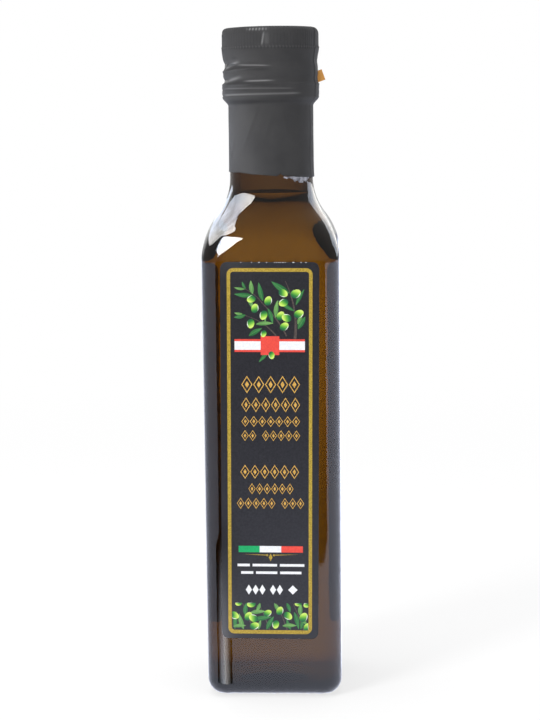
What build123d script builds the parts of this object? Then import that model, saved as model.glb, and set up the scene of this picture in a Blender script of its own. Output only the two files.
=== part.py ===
from build123d import *
import os
from math import acos, cos, radians, sin, sqrt

# A quarter-litre oil bottle: a square glass body with a round shoulder and neck, filled with oil, shut by a
# screw cap under a heat-shrunk capsule with a tear tab, and with a paper label on its front and its back.
# Sizes are in millimetres. The origin is the centre of the foot, +Z is up and the front label faces -Y.

# Glass: body
body_width = 46.0           # across the flat faces
corner_radius = 6.5         # upright edges, outside
body_height = 149.5         # foot to the start of the shoulder
heel_radius = 5.5           # rounding from the sides into the foot
wall = 3.0                  # body wall
inner_corner_radius = 4.6   # upright edges, inside
floor_thickness = 4.2       # foot to the cavity's floor, beside the wall
floor_fillet = 4.0          # rounding from the cavity's sides into its floor
floor_dome_height = 1.8     # rise of the cavity's floor at its centre
punt_margin = 3.0           # flat of the foot, from the heel's rounding to the hollow under the foot
punt_depth = 2.6            # depth of that hollow at its centre

# Glass: shoulder and neck
shoulder_height = 27.0      # end of the flat faces to the straight neck
shoulder_bulge_radius = 25.0  # outward curve above the flat faces
shoulder_round_share = 0.82   # share of the shoulder's height at which its section has become a circle
neck_radius = 14.1
neck_wall = 3.4
neck_height = 48.2          # end of the shoulder to the mouth
mouth_rounding = 1.0

# Oil
fill_below_mouth = 53.5     # mouth to the oil's surface

# Screw cap, whose form shows through the capsule
cap_clearance = 0.2         # cap to neck
cap_wall = 1.7              # at the knurled rim and at the tamper ring
cap_top_thickness = 1.5
cap_edge_radius = 1.4       # rounding of the top edge
rim_height = 6.8            # knurled rim, from the cap's top
upper_groove_height = 7.3   # the two turns of the rolled thread, from the rim down to the tamper ring
lower_groove_height = 4.6
groove_depth = 0.65
crest_step = 0.4            # how far the crest between the grooves stays inside the rim
ring_height = 5.7           # tamper ring, with the chamfer below it
ring_chamfer = 1.4

# Capsule
film = 0.3
film_gap = 0.05             # film to what it is shrunk on
hem_above_shoulder = 1.0    # mean height of its lower edge above the end of the shoulder
hem_tilt = 4.0              # degrees by which that edge runs down towards +X

# Tear tab: the free end of the tear strip, bent out of the capsule's side
tab_width = 3.7             # across the strip
tab_length = 1.8            # out of the capsule
tab_thickness = 0.25
tab_rise = 20.0             # degrees by which its outer end is bent up
tab_gap = 0.1               # tab's nearest corner to the film
tab_below_crest = 2.0       # middle of its root to the crest between the thread's two grooves

# Labels
label_width = 32.8
label_height = 128.4
label_top_margin = 0.1      # front label's upper edge to the start of the shoulder
label_corner_radius = 2.4
label_thickness = 0.2
front_label_shift = -0.6    # from the middle of its face towards +X
front_label_tilt = 0.55     # degrees by which it leans to the right, seen from the front
back_label_shift = -2.6     # towards +X too
back_label_drop = 3.1       # below the front label

shoulder_steps = 12         # outlines that the shoulder's surface passes through, less one
circle_split = 2.5          # half angle, in degrees, of a circle's short arcs, which carry on the flats

half_width = body_width / 2
neck_start = body_height + shoulder_height
bore_radius = neck_radius - neck_wall
mouth = neck_start + neck_height
oil_level = mouth - fill_below_mouth
cap_radius = neck_radius + cap_clearance + cap_wall
cap_top = mouth + cap_top_thickness


def circle_arc(radius, start, end, z):
    """Arc about Z at height z, between two angles in degrees."""
    points = [(radius * cos(radians(a)), radius * sin(radians(a)), z) for a in (start, (start + end) / 2, end)]
    return Edge.make_three_point_arc(*points)


def outline(half, corner, z):
    """Closed outline at height z: four flats and four quarter rounds, or a circle where no flat is left.

    Every outline has eight edges, so that outlines of both kinds can be joined by one surface."""
    flat = half - corner
    edges = []
    for quarter in range(4):
        if flat > 0:
            middle = flat + corner * cos(radians(45))
            side = Edge.make_line((half, -flat, z), (half, flat, z))
            turn = Edge.make_three_point_arc((half, flat, z), (middle, middle, z), (flat, half, z))
        else:
            side = circle_arc(half, -circle_split, circle_split, z)
            turn = circle_arc(half, circle_split, 90 - circle_split, z)
        edges += [edge.rotate(Axis.Z, 90 * quarter) for edge in (side, turn)]
    return Wire(edges)


def shoulder_half_width(z, half, neck, bulge):
    """Half width of the shoulder at height z: an outward arc of radius bulge, then an inward arc tangent to it.

    half and neck are the half widths below and above the shoulder."""
    step = half - neck
    both = (step**2 + shoulder_height**2) / (2 * step)
    turn = acos((both - step) / both)
    rise = z - body_height
    if rise <= bulge * sin(turn):
        return half - bulge + sqrt(bulge**2 - rise**2)
    hollow = both - bulge
    return neck + hollow - sqrt(hollow**2 - (shoulder_height - rise) ** 2)


def shoulder(half, corner, neck, bulge):
    """Solid between the square body and the round neck."""
    outlines = []
    for i in range(shoulder_steps + 1):
        rise = shoulder_height * i / shoulder_steps
        width = shoulder_half_width(body_height + rise, half, neck, bulge)
        share = min(rise / (shoulder_round_share * shoulder_height), 1)
        blend = share**2 * (3 - 2 * share)
        roundness = corner / half + (1 - corner / half) * blend
        outlines.append(outline(width, width * roundness, body_height + rise))
    return Solid.make_loft(outlines)


def square_prism(half, corner, bottom, top):
    """Upright square bar with rounded corners, about Z."""
    face = Plane.XY.offset(bottom) * RectangleRounded(2 * half, 2 * half, corner)
    return extrude(face, top - bottom)


def cylinder(radius, bottom, top):
    """Upright cylinder about Z."""
    return extrude(Plane.XY.offset(bottom) * Circle(radius), top - bottom)


def dome(radius, height, z):
    """Dome about Z that stands height above the level z, where its radius is radius."""
    ball = (radius**2 + height**2) / (2 * height)
    return Pos(0, 0, z + height - ball) * Sphere(ball) & cylinder(radius, z, z + height)


def lowest_edges(solid):
    """Edges that lie in a solid's lowest plane."""
    return solid.edges().group_by(Axis.Z)[0]


def glass_outside():
    """The glass without its cavity and without the hollow under its foot."""
    body = square_prism(half_width, corner_radius, 0, body_height)
    body = fillet(lowest_edges(body), min(heel_radius, 0.9 * corner_radius))
    neck = cylinder(neck_radius, neck_start, mouth)
    neck = fillet(neck.edges().group_by(Axis.Z)[-1], mouth_rounding)
    return body + shoulder(half_width, corner_radius, neck_radius, shoulder_bulge_radius) + neck


def cavity(top):
    """The space inside the glass, up to the level top."""
    half = half_width - wall
    body = square_prism(half, inner_corner_radius, floor_thickness, body_height)
    body = fillet(lowest_edges(body), min(floor_fillet, 0.9 * inner_corner_radius))
    body -= dome(half - floor_fillet, floor_dome_height, floor_thickness)
    body += shoulder(half, inner_corner_radius, bore_radius, shoulder_bulge_radius - wall)
    body += cylinder(bore_radius, neck_start, max(top, neck_start + 1))
    return body & square_prism(half_width, corner_radius, 0, top)


def bottle_glass():
    hollow = dome(half_width - heel_radius - punt_margin, punt_depth, 0)
    return glass_outside() - cavity(mouth + 1) - hollow


def olive_oil():
    return cavity(oil_level)


def cap_profile(grow):
    """Half section of the cap's outside, from the axis at its top to the foot of the tamper ring.

    It is moved out by grow, for the film that lies on the cap."""
    rim = cap_radius + grow
    top = cap_top + grow
    edge = cap_edge_radius + grow
    bend = edge * (1 - cos(radians(45)))
    groove = rim - groove_depth
    rim_foot = cap_top - rim_height
    crest = rim_foot - upper_groove_height
    ring_top = crest - lower_groove_height
    ring_foot = ring_top - ring_height - grow
    chamfer = min(ring_chamfer, 0.85 * cap_wall)
    return [
        Line((0, top), (rim - edge, top)),
        ThreePointArc((rim - edge, top), (rim - bend, top - bend), (rim, top - edge)),
        Line((rim, top - edge), (rim, rim_foot)),
        ThreePointArc((rim, rim_foot), (groove, (rim_foot + crest) / 2), (rim - crest_step, crest)),
        ThreePointArc((rim - crest_step, crest), (groove, (crest + ring_top) / 2), (rim, ring_top)),
        Line((rim, ring_top), (rim, ring_foot + chamfer)),
        Line((rim, ring_foot + chamfer), (rim - chamfer, ring_foot)),
    ]


def turned(profile, points):
    """Solid of revolution about Z of a half section, closed by straight lines through points."""
    corners = [profile[-1] @ 1, *points, profile[0] @ 0]
    section = make_face(profile + [Line(a, b) for a, b in zip(corners, corners[1:])])
    return revolve(Plane.XZ * section, Axis.Z)


def screw_cap():
    profile = cap_profile(0)
    foot = (profile[-1] @ 1).Y
    bore = neck_radius + cap_clearance
    return turned(profile, [(bore, foot), (bore, mouth), (0, mouth)])


def wrapped(grow):
    """Solid of the cap and the neck as the film wraps them, moved out by grow."""
    profile = cap_profile(grow)
    foot = (profile[-1] @ 1).Y
    radius = neck_radius + grow
    return turned(profile, [(radius, foot), (radius, body_height), (0, body_height)])


def shrink_capsule():
    up = (sin(radians(hem_tilt)), 0, cos(radians(hem_tilt)))
    hem = Plane(origin=(0, 0, neck_start + hem_above_shoulder), z_dir=up)
    return split(wrapped(film_gap + film) - wrapped(film_gap), bisect_by=hem, keep=Keep.TOP)


def tear_tab():
    height = cap_top - rim_height - upper_groove_height - tab_below_crest
    corner = tab_width / 2 * sin(radians(tab_rise))
    inner = cap_radius + film_gap + film - crest_step + tab_gap + corner
    strip = Pos(tab_length / 2, 0, 0) * Box(tab_length, tab_thickness, tab_width)
    return Pos(inner, 0, height) * Rot(0, -tab_rise, 0) * strip


def label(side, shift, drop, tilt):
    """Label on the face that looks towards side times Y, wrapped where it runs onto the upright rounding."""
    middle = body_height - label_top_margin - label_height / 2 - drop
    face = Plane(origin=(shift, 0, middle), x_dir=(-side, 0, 0), z_dir=(0, side, 0)) * Rot(0, 0, -tilt)
    sheet = extrude(face * RectangleRounded(label_width, label_height, label_corner_radius), body_width)
    around = square_prism(half_width + label_thickness, corner_radius + label_thickness, 0, body_height)
    return sheet & (around - square_prism(half_width, corner_radius, 0, body_height))


nodes = {
    "bottle_glass": bottle_glass(),
    "olive_oil": olive_oil(),
    "screw_cap": screw_cap(),
    "shrink_capsule": shrink_capsule(),
    "tear_tab": tear_tab(),
    "front_label": label(-1, front_label_shift, 0, front_label_tilt),
    "back_label": label(1, back_label_shift, back_label_drop, 0),
}

os.makedirs("parts", exist_ok=True)
for name, shape in nodes.items():
    export_step(shape, f"parts/{name}.step")
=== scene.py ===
"""Looks of the olive oil bottle: glass, oil, capsule, tear tab, labels with their print, camera and lights.

Sizes are in millimetres until a mesh is made. +Z is up and the front label faces -Y."""

import math

import bpy
import numpy as np
from mathutils import Matrix, Vector


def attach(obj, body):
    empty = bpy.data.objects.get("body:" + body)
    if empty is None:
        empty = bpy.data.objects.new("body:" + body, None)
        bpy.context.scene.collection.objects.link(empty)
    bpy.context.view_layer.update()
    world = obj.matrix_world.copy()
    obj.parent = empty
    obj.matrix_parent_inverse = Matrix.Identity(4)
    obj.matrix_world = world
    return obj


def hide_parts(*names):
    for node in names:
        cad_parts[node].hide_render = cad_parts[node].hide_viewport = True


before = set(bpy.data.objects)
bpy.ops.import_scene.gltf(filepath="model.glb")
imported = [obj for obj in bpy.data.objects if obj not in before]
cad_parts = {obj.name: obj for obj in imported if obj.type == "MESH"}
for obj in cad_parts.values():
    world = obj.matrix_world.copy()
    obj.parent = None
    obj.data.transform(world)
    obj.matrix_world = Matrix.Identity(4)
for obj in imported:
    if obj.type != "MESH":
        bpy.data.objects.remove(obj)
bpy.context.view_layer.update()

MM = 0.001
TAU = 2 * math.pi

# Glass
HALF = 23.0
CORNER = 6.5
BODY_TOP = 149.5
HEEL = 5.5
WALL = 3.0
INNER_CORNER = 4.6
FLOOR = 4.2
FLOOR_FILLET = 4.0
FLOOR_DOME = 1.8
PUNT_RADIUS = 14.5
PUNT_DEPTH = 2.6
FOOT_BARS = 56
SHOULDER = 27.0
BULGE = 25.0
ROUND_SHARE = 0.82
NECK_RADIUS = 14.1
BORE_RADIUS = 10.7
NECK_START = BODY_TOP + SHOULDER
SHOULDER_HOLLOW = 20.4  # radius of the inward curve from the shoulder into the neck
MOUTH = 224.7
OIL_LEVEL = 171.2
OIL_REACH = 0.25  # how far the oil reaches into the wall

# Capsule
TOP = 226.55
HEM = 177.5
HEM_RIGHT = 177.0  # height of its cut edge where the torn bit sticks out
FILM = 0.3
WIDEST = 16.75
EDGE_LOW = 224.0  # where the rounding of its upper edge begins
RIM_DROP = 0.05  # top of the rounding below the highest point
DISH = 0.2  # depth of the dish in the top
KNURLS = 90
CAP_EDGE = (14.6, 224.8, 1.52)  # rounding of the cap under it: middle's radius and height, and reach
CAP_EDGE_END = 226.32  # height above which the cap's rounding is over

# Tear tab
TAB_ROOT = (16.35, 0.9, 210.2)
TAB_RISE = 20  # degrees
TAB_HALF_THICKNESS = 0.11

# Labels: which way they look along Y, height of their middle, shift towards +X and lean in degrees
FRONT_LABEL = (-1, 85.2, -0.6, 0.55)
BACK_LABEL = (1, 82.1, -2.6, 0.0)
LABEL_HALF = 16.4
LABEL_HEIGHT = 128.4
LABEL_CORNER = 2.4
PAPER = 0.14  # height of the paper's face above the glass


# ---------------------------------------------------------------- meshes


def in_scene(name, data):
    """New object that shows its data in the scene."""
    thing = bpy.data.objects.new(name, data)
    bpy.context.scene.collection.objects.link(thing)
    return thing


def new_piece(name, points, faces, material, replaces=(), smooth=True, uv=None):
    """Mesh piece from points in millimetres and rows of four vertex numbers, the last -1 for a triangle."""
    faces = np.asarray(faces)
    loops = faces.ravel()
    keep = loops >= 0
    sizes = (faces >= 0).sum(1)
    mesh = bpy.data.meshes.new(name)
    mesh.vertices.add(len(points))
    mesh.vertices.foreach_set("co", (np.asarray(points) * MM).astype(np.float32).ravel())
    mesh.loops.add(int(keep.sum()))
    mesh.loops.foreach_set("vertex_index", loops[keep].astype(np.int32))
    mesh.polygons.add(len(faces))
    starts = np.concatenate([[0], np.cumsum(sizes)[:-1]])
    mesh.polygons.foreach_set("loop_start", starts.astype(np.int32))
    mesh.polygons.foreach_set("use_smooth", np.full(len(faces), smooth))
    if uv is not None:
        layer = mesh.uv_layers.new(name="print")
        layer.data.foreach_set("uv", np.asarray(uv)[loops[keep]].astype(np.float32).ravel())
    mesh.update(calc_edges=True)
    mesh.validate()
    piece = in_scene(name, mesh)
    mesh.materials.append(material)
    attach(piece, "root")
    if replaces:
        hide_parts(*replaces)
    return piece


def tube_faces(rows, columns):
    """Quads between rows of points that close on themselves, facing away from the axis where rows rise."""
    i = np.arange(rows - 1)[:, None]
    j = np.arange(columns)[None, :]
    k = (j + 1) % columns
    quads = np.stack([i * columns + j, i * columns + k, (i + 1) * columns + k, (i + 1) * columns + j], -1)
    return quads.reshape(-1, 4)


def closed_surface(rings, first_pole, last_pole):
    """Points and faces of rings of points joined in order, with a fan to a pole at each end."""
    rows, columns, _ = rings.shape
    points = np.concatenate([rings.reshape(-1, 3), [first_pole, last_pole]])
    j = np.arange(columns)
    k = (j + 1) % columns
    none = np.full(columns, -1)
    last = (rows - 1) * columns
    start = np.stack([k, j, np.full(columns, rows * columns), none], -1)
    end = np.stack([last + j, last + k, np.full(columns, rows * columns + 1), none], -1)
    return points, np.concatenate([tube_faces(rows, columns), start, end])


def smooth_step(x, low, high):
    """0 below low, 1 above high, and a smooth rise between them."""
    t = np.clip((x - low) / (high - low), 0, 1)
    return t * t * (3 - 2 * t)


def hump(x, middle, width):
    """Bell curve of height 1."""
    return np.exp(-(((x - middle) / width) ** 2))


def band(value, low, high, soft):
    """1 between low and high, with soft ends."""
    return smooth_step(value, low - soft, low + soft) * (1 - smooth_step(value, high - soft, high + soft))


def wrapped(angle):
    """The same angle between minus and plus half a turn."""
    return (angle + math.pi) % TAU - math.pi


def around(radius, angles, z):
    """Points at a radius from the axis, angles and heights."""
    return np.stack([radius * np.cos(angles), radius * np.sin(angles), np.broadcast_to(z, radius.shape)], -1)


# ---------------------------------------------------------------- glass and oil


def bottle_angles(flat_steps=20, corner_steps=16):
    """Angles about Z, closer together where the corners of the square turn."""
    flat = np.linspace(-35, 35, flat_steps, endpoint=False)
    corner = np.linspace(35, 55, corner_steps, endpoint=False)
    quarter = np.concatenate([flat, corner])
    return np.radians(np.concatenate([quarter + 90 * i for i in range(4)]))


def section(half, corner, angles):
    """Distance from the axis to the outline of a rounded square.

    On a flat it is half over the cosine of the angle from the flat's middle. On a corner it is the far root
    of the distance at which that direction meets the corner's circle."""
    half = np.asarray(half)[:, None]
    corner = np.asarray(corner)[:, None]
    turn = np.abs((angles + math.pi / 4) % (math.pi / 2) - math.pi / 4)[None, :]
    flat = half - corner
    along = flat * (np.cos(turn) + np.sin(turn))
    round_part = along + np.sqrt(np.maximum(along**2 - 2 * flat**2 + corner**2, 0))
    return np.where(np.tan(turn) * half <= flat, half / np.cos(turn), round_part)


def shoulder_rows(half, corner, neck, bulge, steps=40):
    """Rows (half width, corner radius, height) up the shoulder.

    The half width follows an outward arc of radius bulge, then an inward arc tangent to it."""
    step = half - neck
    both = (step**2 + SHOULDER**2) / (2 * step)
    turn = math.acos((both - step) / both)
    hollow = both - bulge
    rise = np.linspace(0, SHOULDER, steps + 1)
    lower = half - bulge + np.sqrt(np.maximum(bulge**2 - rise**2, 0))
    upper = neck + hollow - np.sqrt(np.maximum(hollow**2 - (SHOULDER - rise) ** 2, 0))
    width = np.where(rise <= bulge * math.sin(turn), lower, upper)
    blend = smooth_step(rise, 0, ROUND_SHARE * SHOULDER)
    share = corner / half + (1 - corner / half) * blend
    return np.stack([width, width * share, BODY_TOP + rise], -1)


def rounding_rows(half, corner, radius, level, steps=10):
    """Rows up the rounding between a level foot or floor and the upright sides."""
    turn = np.linspace(0, math.pi / 2, steps + 1)
    inset = radius * (1 - np.sin(turn))
    return np.stack([half - inset, corner - inset, level + radius * (1 - np.cos(turn))], -1)


def straight_rows(half, corner, low, high, steps):
    z = np.linspace(low, high, steps + 1)
    return np.stack([np.full_like(z, half), np.full_like(z, corner), z], -1)


def dome_rows(radius, height, level, steps=9):
    """Rows from the rim of a spherical dome in to its top, leaving out the pole."""
    ball = (radius**2 + height**2) / (2 * height)
    r = radius * np.linspace(1, 0, steps, endpoint=False)
    return np.stack([r, r, level + height - ball + np.sqrt(ball**2 - r**2)], -1)


def rings_from(rows, angles):
    return around(section(rows[:, 0], rows[:, 1], angles), angles, rows[:, 2:3])


def cavity_rows(reach):
    """Rows from the middle of the cavity's floor to the shoulder's end, moved into the wall by reach."""
    half = HALF - WALL + reach
    corner = INNER_CORNER + reach
    fillet = FLOOR_FILLET + reach
    dome = dome_rows(HALF - WALL - FLOOR_FILLET - 0.4, FLOOR_DOME, FLOOR - reach)[::-1]
    return [
        dome,
        rounding_rows(half, corner, fillet, FLOOR - reach),
        straight_rows(half, corner, FLOOR + FLOOR_FILLET + 1, BODY_TOP - 1, 16),
        shoulder_rows(half, corner, BORE_RADIUS + reach, BULGE - WALL + reach),
    ]


def make_glass(material):
    """One closed surface: hollow under the foot, foot, sides, shoulder, neck, mouth, bore and cavity.

    The ring that the foot stands on has radial bars, cosine ridges about 2 mm apart that touch height 0."""
    angles = bottle_angles()
    wide = BORE_RADIUS + 0.3
    bore = np.array([[wide, wide, MOUTH], [BORE_RADIUS, BORE_RADIUS, MOUTH - 0.3]])
    lip = rounding_rows(NECK_RADIUS, NECK_RADIUS, 1.0, 0, 5)[::-1]
    lip[:, 2] = MOUTH - lip[:, 2]
    hollow = dome_rows(PUNT_RADIUS - 0.3, PUNT_DEPTH, 0.15)[::-1]
    outside = [
        hollow,
        np.array([[PUNT_RADIUS, PUNT_RADIUS, 0.0]]),
        rounding_rows(HALF, CORNER, HEEL, 0),
        straight_rows(HALF, CORNER, HEEL + 0.6, BODY_TOP - 1, 20),
        shoulder_rows(HALF, CORNER, NECK_RADIUS, BULGE),
        straight_rows(NECK_RADIUS, NECK_RADIUS, NECK_START + 2, MOUTH - 1.5, 6),
        lip,
    ]
    inside = [straight_rows(BORE_RADIUS, BORE_RADIUS, NECK_START + 2, MOUTH - 1.5, 6)[::-1]]
    inside += [rows[::-1] for rows in cavity_rows(0)[::-1]]
    rows = np.concatenate(outside + [bore] + inside)
    rings = rings_from(rows, angles)
    foot = (rows[:, 2:3] < 0.6) & (rows[:, :1] > PUNT_RADIUS - 0.01)
    bars = 0.16 * (1 - np.cos(FOOT_BARS * angles))[None, :]
    rings[..., 2] += np.where(foot, bars, 0)
    points, faces = closed_surface(rings, (0, 0, PUNT_DEPTH + 0.15), (0, 0, FLOOR + FLOOR_DOME))
    return new_piece("glass_shell", points, faces, material, ["bottle_glass"])


def make_oil(material):
    """The oil up to its level, reaching a little into the wall, with a surface that climbs at the glass."""
    angles = bottle_angles()
    rows = np.concatenate(cavity_rows(OIL_REACH))
    shoulder = rows[rows[:, 2] < OIL_LEVEL + 0.1]
    edge = shoulder[-1, 0] - OIL_REACH
    climb = edge - np.array([0.0, 0.25, 0.6, 1.1, 1.8, 2.8, 4.5, 8.0])
    height = OIL_LEVEL + 0.5 * np.exp(-(edge - climb) / 0.6)
    surface = np.stack([climb, climb, height], -1)
    rim = np.array([[edge + OIL_REACH, edge + OIL_REACH, OIL_LEVEL + 0.55]])
    rings = rings_from(np.concatenate([shoulder, rim, surface]), angles)
    points, faces = closed_surface(rings, (0, 0, FLOOR - OIL_REACH + FLOOR_DOME), (0, 0, OIL_LEVEL))
    return new_piece("oil_fill", points, faces, material, ["olive_oil"])


# ---------------------------------------------------------------- capsule and tear tab


def knurls(angle):
    """Height of the rim's ribs, from 0 to 1."""
    return 0.5 + 0.5 * np.cos(KNURLS * angle)


def capsule_radius(angle, z):
    """Radius of the capsule's outside at an angle from +X and a height.

    Smooth steps and bell curves in height make the neck, the tamper ring, the thread's two turns and the
    knurled rim. Cosines of the angle make the turns climb and fade and the knurls repeat."""
    right = np.cos(angle + 0.3)
    left_deep = 1 - 0.55 * right
    climb = 0.75 * right
    radius = 14.38 + 0.12 * np.exp(-(z - HEM) / 3.0) + 0 * angle
    radius = radius + 1.98 * smooth_step(z, 200.4, 203.5)
    # tamper ring, with two fine lines round it
    lines = hump(z, 205.8 + 0.1 * np.sin(2 * angle), 0.22)
    lines = lines + 1.3 * hump(z, 203.8 - 0.15 * np.sin(angle), 0.28)
    radius = radius - 0.17 * lines * (0.65 - 0.35 * right)
    # the thread's two turns
    waist = smooth_step(z, 207.4, 208.4) * (1 - smooth_step(z, 216.1 + climb, 219.5))
    lower = hump(z, 209.3 + 0.5 * climb, 1.0)
    upper = hump(z, 214.6 + climb, 1.35)
    radius = radius - 0.38 * waist - 0.36 * lower * left_deep - 0.52 * upper * left_deep
    crease = hump(z, 212.7 + 0.8 * climb + 0.2 * np.sin(3 * angle + 1), 0.33)
    radius = radius + 0.30 * crease * smooth_step(-right, -0.75, 0.3)
    radius = radius + 0.16 * hump(z, 207.6 + 0.15 * np.sin(2 * angle + 2), 0.3)
    # knurled rim
    ribs = knurls(angle)
    rim = smooth_step(z, 219.6, 220.2)
    radius = radius - 0.17 * rim + 0.07 * ribs * rim * (1 - smooth_step(z, 224.1, 225.1))
    radius = radius + 0.17 * (ribs - 0.4) * hump(z, 219.9, 0.32)
    radius = radius + 0.20 * hump(angle, -1.42 + 0.012 * (z - 222), 0.018) * rim
    radius = radius + 0.09 * ribs * hump(z, 225.0, 0.5)
    return radius


def capsule_wrinkles(angle, z):
    """Height of the puckers in the film: slanting ridges on the neck and short folds between the turns.

    Each is a bell curve across its line, faded at its ends, and low crossing waves make the film uneven."""
    height = 0 * angle * z
    for middle, slope, start, end, size in (
        (-2.05, 0.030, 184.5, 200.5, 0.110),
        (-1.62, 0.024, 187.5, 198.5, 0.100),
        (-2.45, 0.034, 180.5, 191.5, 0.090),
        (-1.15, -0.020, 189.5, 200.5, 0.075),
        (0.90, 0.028, 181.5, 198.5, 0.050),
        (2.30, -0.030, 183.5, 199.5, 0.050),
    ):
        away = wrapped(angle - middle - slope * (z - 192.5))
        fade = smooth_step(z, start, start + 4) * (1 - smooth_step(z, end - 3, end))
        height = height + size * hump(away, 0, 0.055) * fade - 0.5 * size * hump(away, 0.11, 0.07) * fade
    for middle, level, size in (
        (-2.75, 213.8, 0.16),
        (-2.50, 209.2, 0.14),
        (-2.20, 214.7, 0.10),
        (-1.70, 209.1, 0.09),
        (-2.95, 210.5, 0.10),
        (2.70, 214.1, 0.14),
        (1.90, 209.5, 0.10),
        (0.80, 215.0, 0.08),
    ):
        away = wrapped(angle - middle)
        height = height + size * hump(away, 0.35 * (z - level) / 3, 0.07) * hump(z, level, 1.1)
    ripple = np.sin(7 * angle + 0.35 * z) * np.sin(3 * angle - 0.23 * z + 1.1)
    return height + 0.022 * ripple


def film_painted_light(angle, z):
    """Painted highlights on the film, from 0 to 1, along its creases, on the knurls, on the rim's upper edge
    and in one upright line, and painted shade in its folds, under the ring and between the knurls.

    Each mark is a bell curve about a line that rises or falls with the angle."""
    a = wrapped(angle)
    # light gathers the painted highlights and dark gathers the painted shade
    light = 0 * a * z
    dark = 0 * a * z
    # Crease lines: a painted highlight on each, with painted shade just under it
    for start, end, low, high, thick, strength in (
        (-2.78, -2.32, 213.0, 214.8, 0.45, 0.75), (-2.25, -1.60, 213.9, 213.6, 0.18, 0.80),
        (-2.78, -2.25, 208.4, 209.8, 0.45, 0.60), (-2.05, -1.52, 208.6, 208.7, 0.22, 0.90),
        (-2.70, -1.10, 206.3, 206.1, 0.16, 0.30), (-2.75, -0.95, 204.1, 204.5, 0.30, 0.50),
        (0.55, 1.60, 213.2, 213.8, 0.20, 0.60), (1.9, 2.8, 208.6, 208.9, 0.30, 0.60),
    ):
        line = low + (high - low) * np.clip((a - start) / (end - start), 0, 1)
        light = light + strength * hump(z, line, thick) * band(a, start, end, 0.14)
        dark = dark + 0.6 * strength * hump(z, line - 1.1 - thick, 0.55) * band(a, start, end, 0.2)
    # Painted shade under the tamper ring, all round and deeper on the left, and in one fold by the upper turn
    dark = dark + 0.9 * hump(z, 201.6 + 0.25 * (a + 2.3), 0.7) * band(a, -2.85, -1.75, 0.3)
    dark = dark + 0.35 * hump(z, 201.9, 0.6) + 0.5 * hump(z, 216.2, 0.5) * hump(a, -2.38, 0.09)
    ribs = knurls(angle)
    # Painted highlights: an upright line on the rim, glints on the knurls at its upper edge, and the knurls'
    # lower ends
    light = light + 0.75 * hump(a, -1.68 + 0.01 * (z - 222), 0.016) * band(z, 220.5, 224.2, 0.8)
    light = light + 0.18 * hump(a, -1.60, 0.05) * band(z, 220.5, 224.2, 0.8)
    light = light + 1.1 * ribs * hump(z, 225.4, 0.35) * band(a, -2.0, -1.6, 0.08)
    light = light + 0.15 * ribs * hump(z, 219.75, 0.25)
    # Painted shade between the knurls
    dark = dark + 0.45 * (1 - ribs) * hump(z, 219.4, 0.35)
    return np.clip(light, 0, 1), np.clip(dark, 0, 1)


def film_overlap(angle, z):
    """Height of the film's upright overlap on the right: a strip with a raised front edge."""
    away = wrapped(angle + 0.12 + 0.02 * np.sin(0.35 * z))
    strip = smooth_step(away, -0.275, -0.235) * (1 - smooth_step(away, 0.22, 0.30))
    lip = hump(away, -0.235, 0.035)
    stronger = 0.45 + 0.55 * smooth_step(z, 200.5, 207.5)
    return (0.12 * strip + 0.17 * lip) * stronger


def hem_height(angle):
    """Height of the capsule's cut edge, which slopes down towards +X and is not quite even."""
    uneven = 0.10 * np.sin(5 * angle + 0.6) + 0.07 * np.sin(11 * angle + 2.0) + 0.05 * np.sin(23 * angle)
    nick = 0.5 * hump(wrapped(angle + 1.32), 0, 0.05)
    return HEM - 1.01 * np.cos(angle) + uneven + nick


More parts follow.
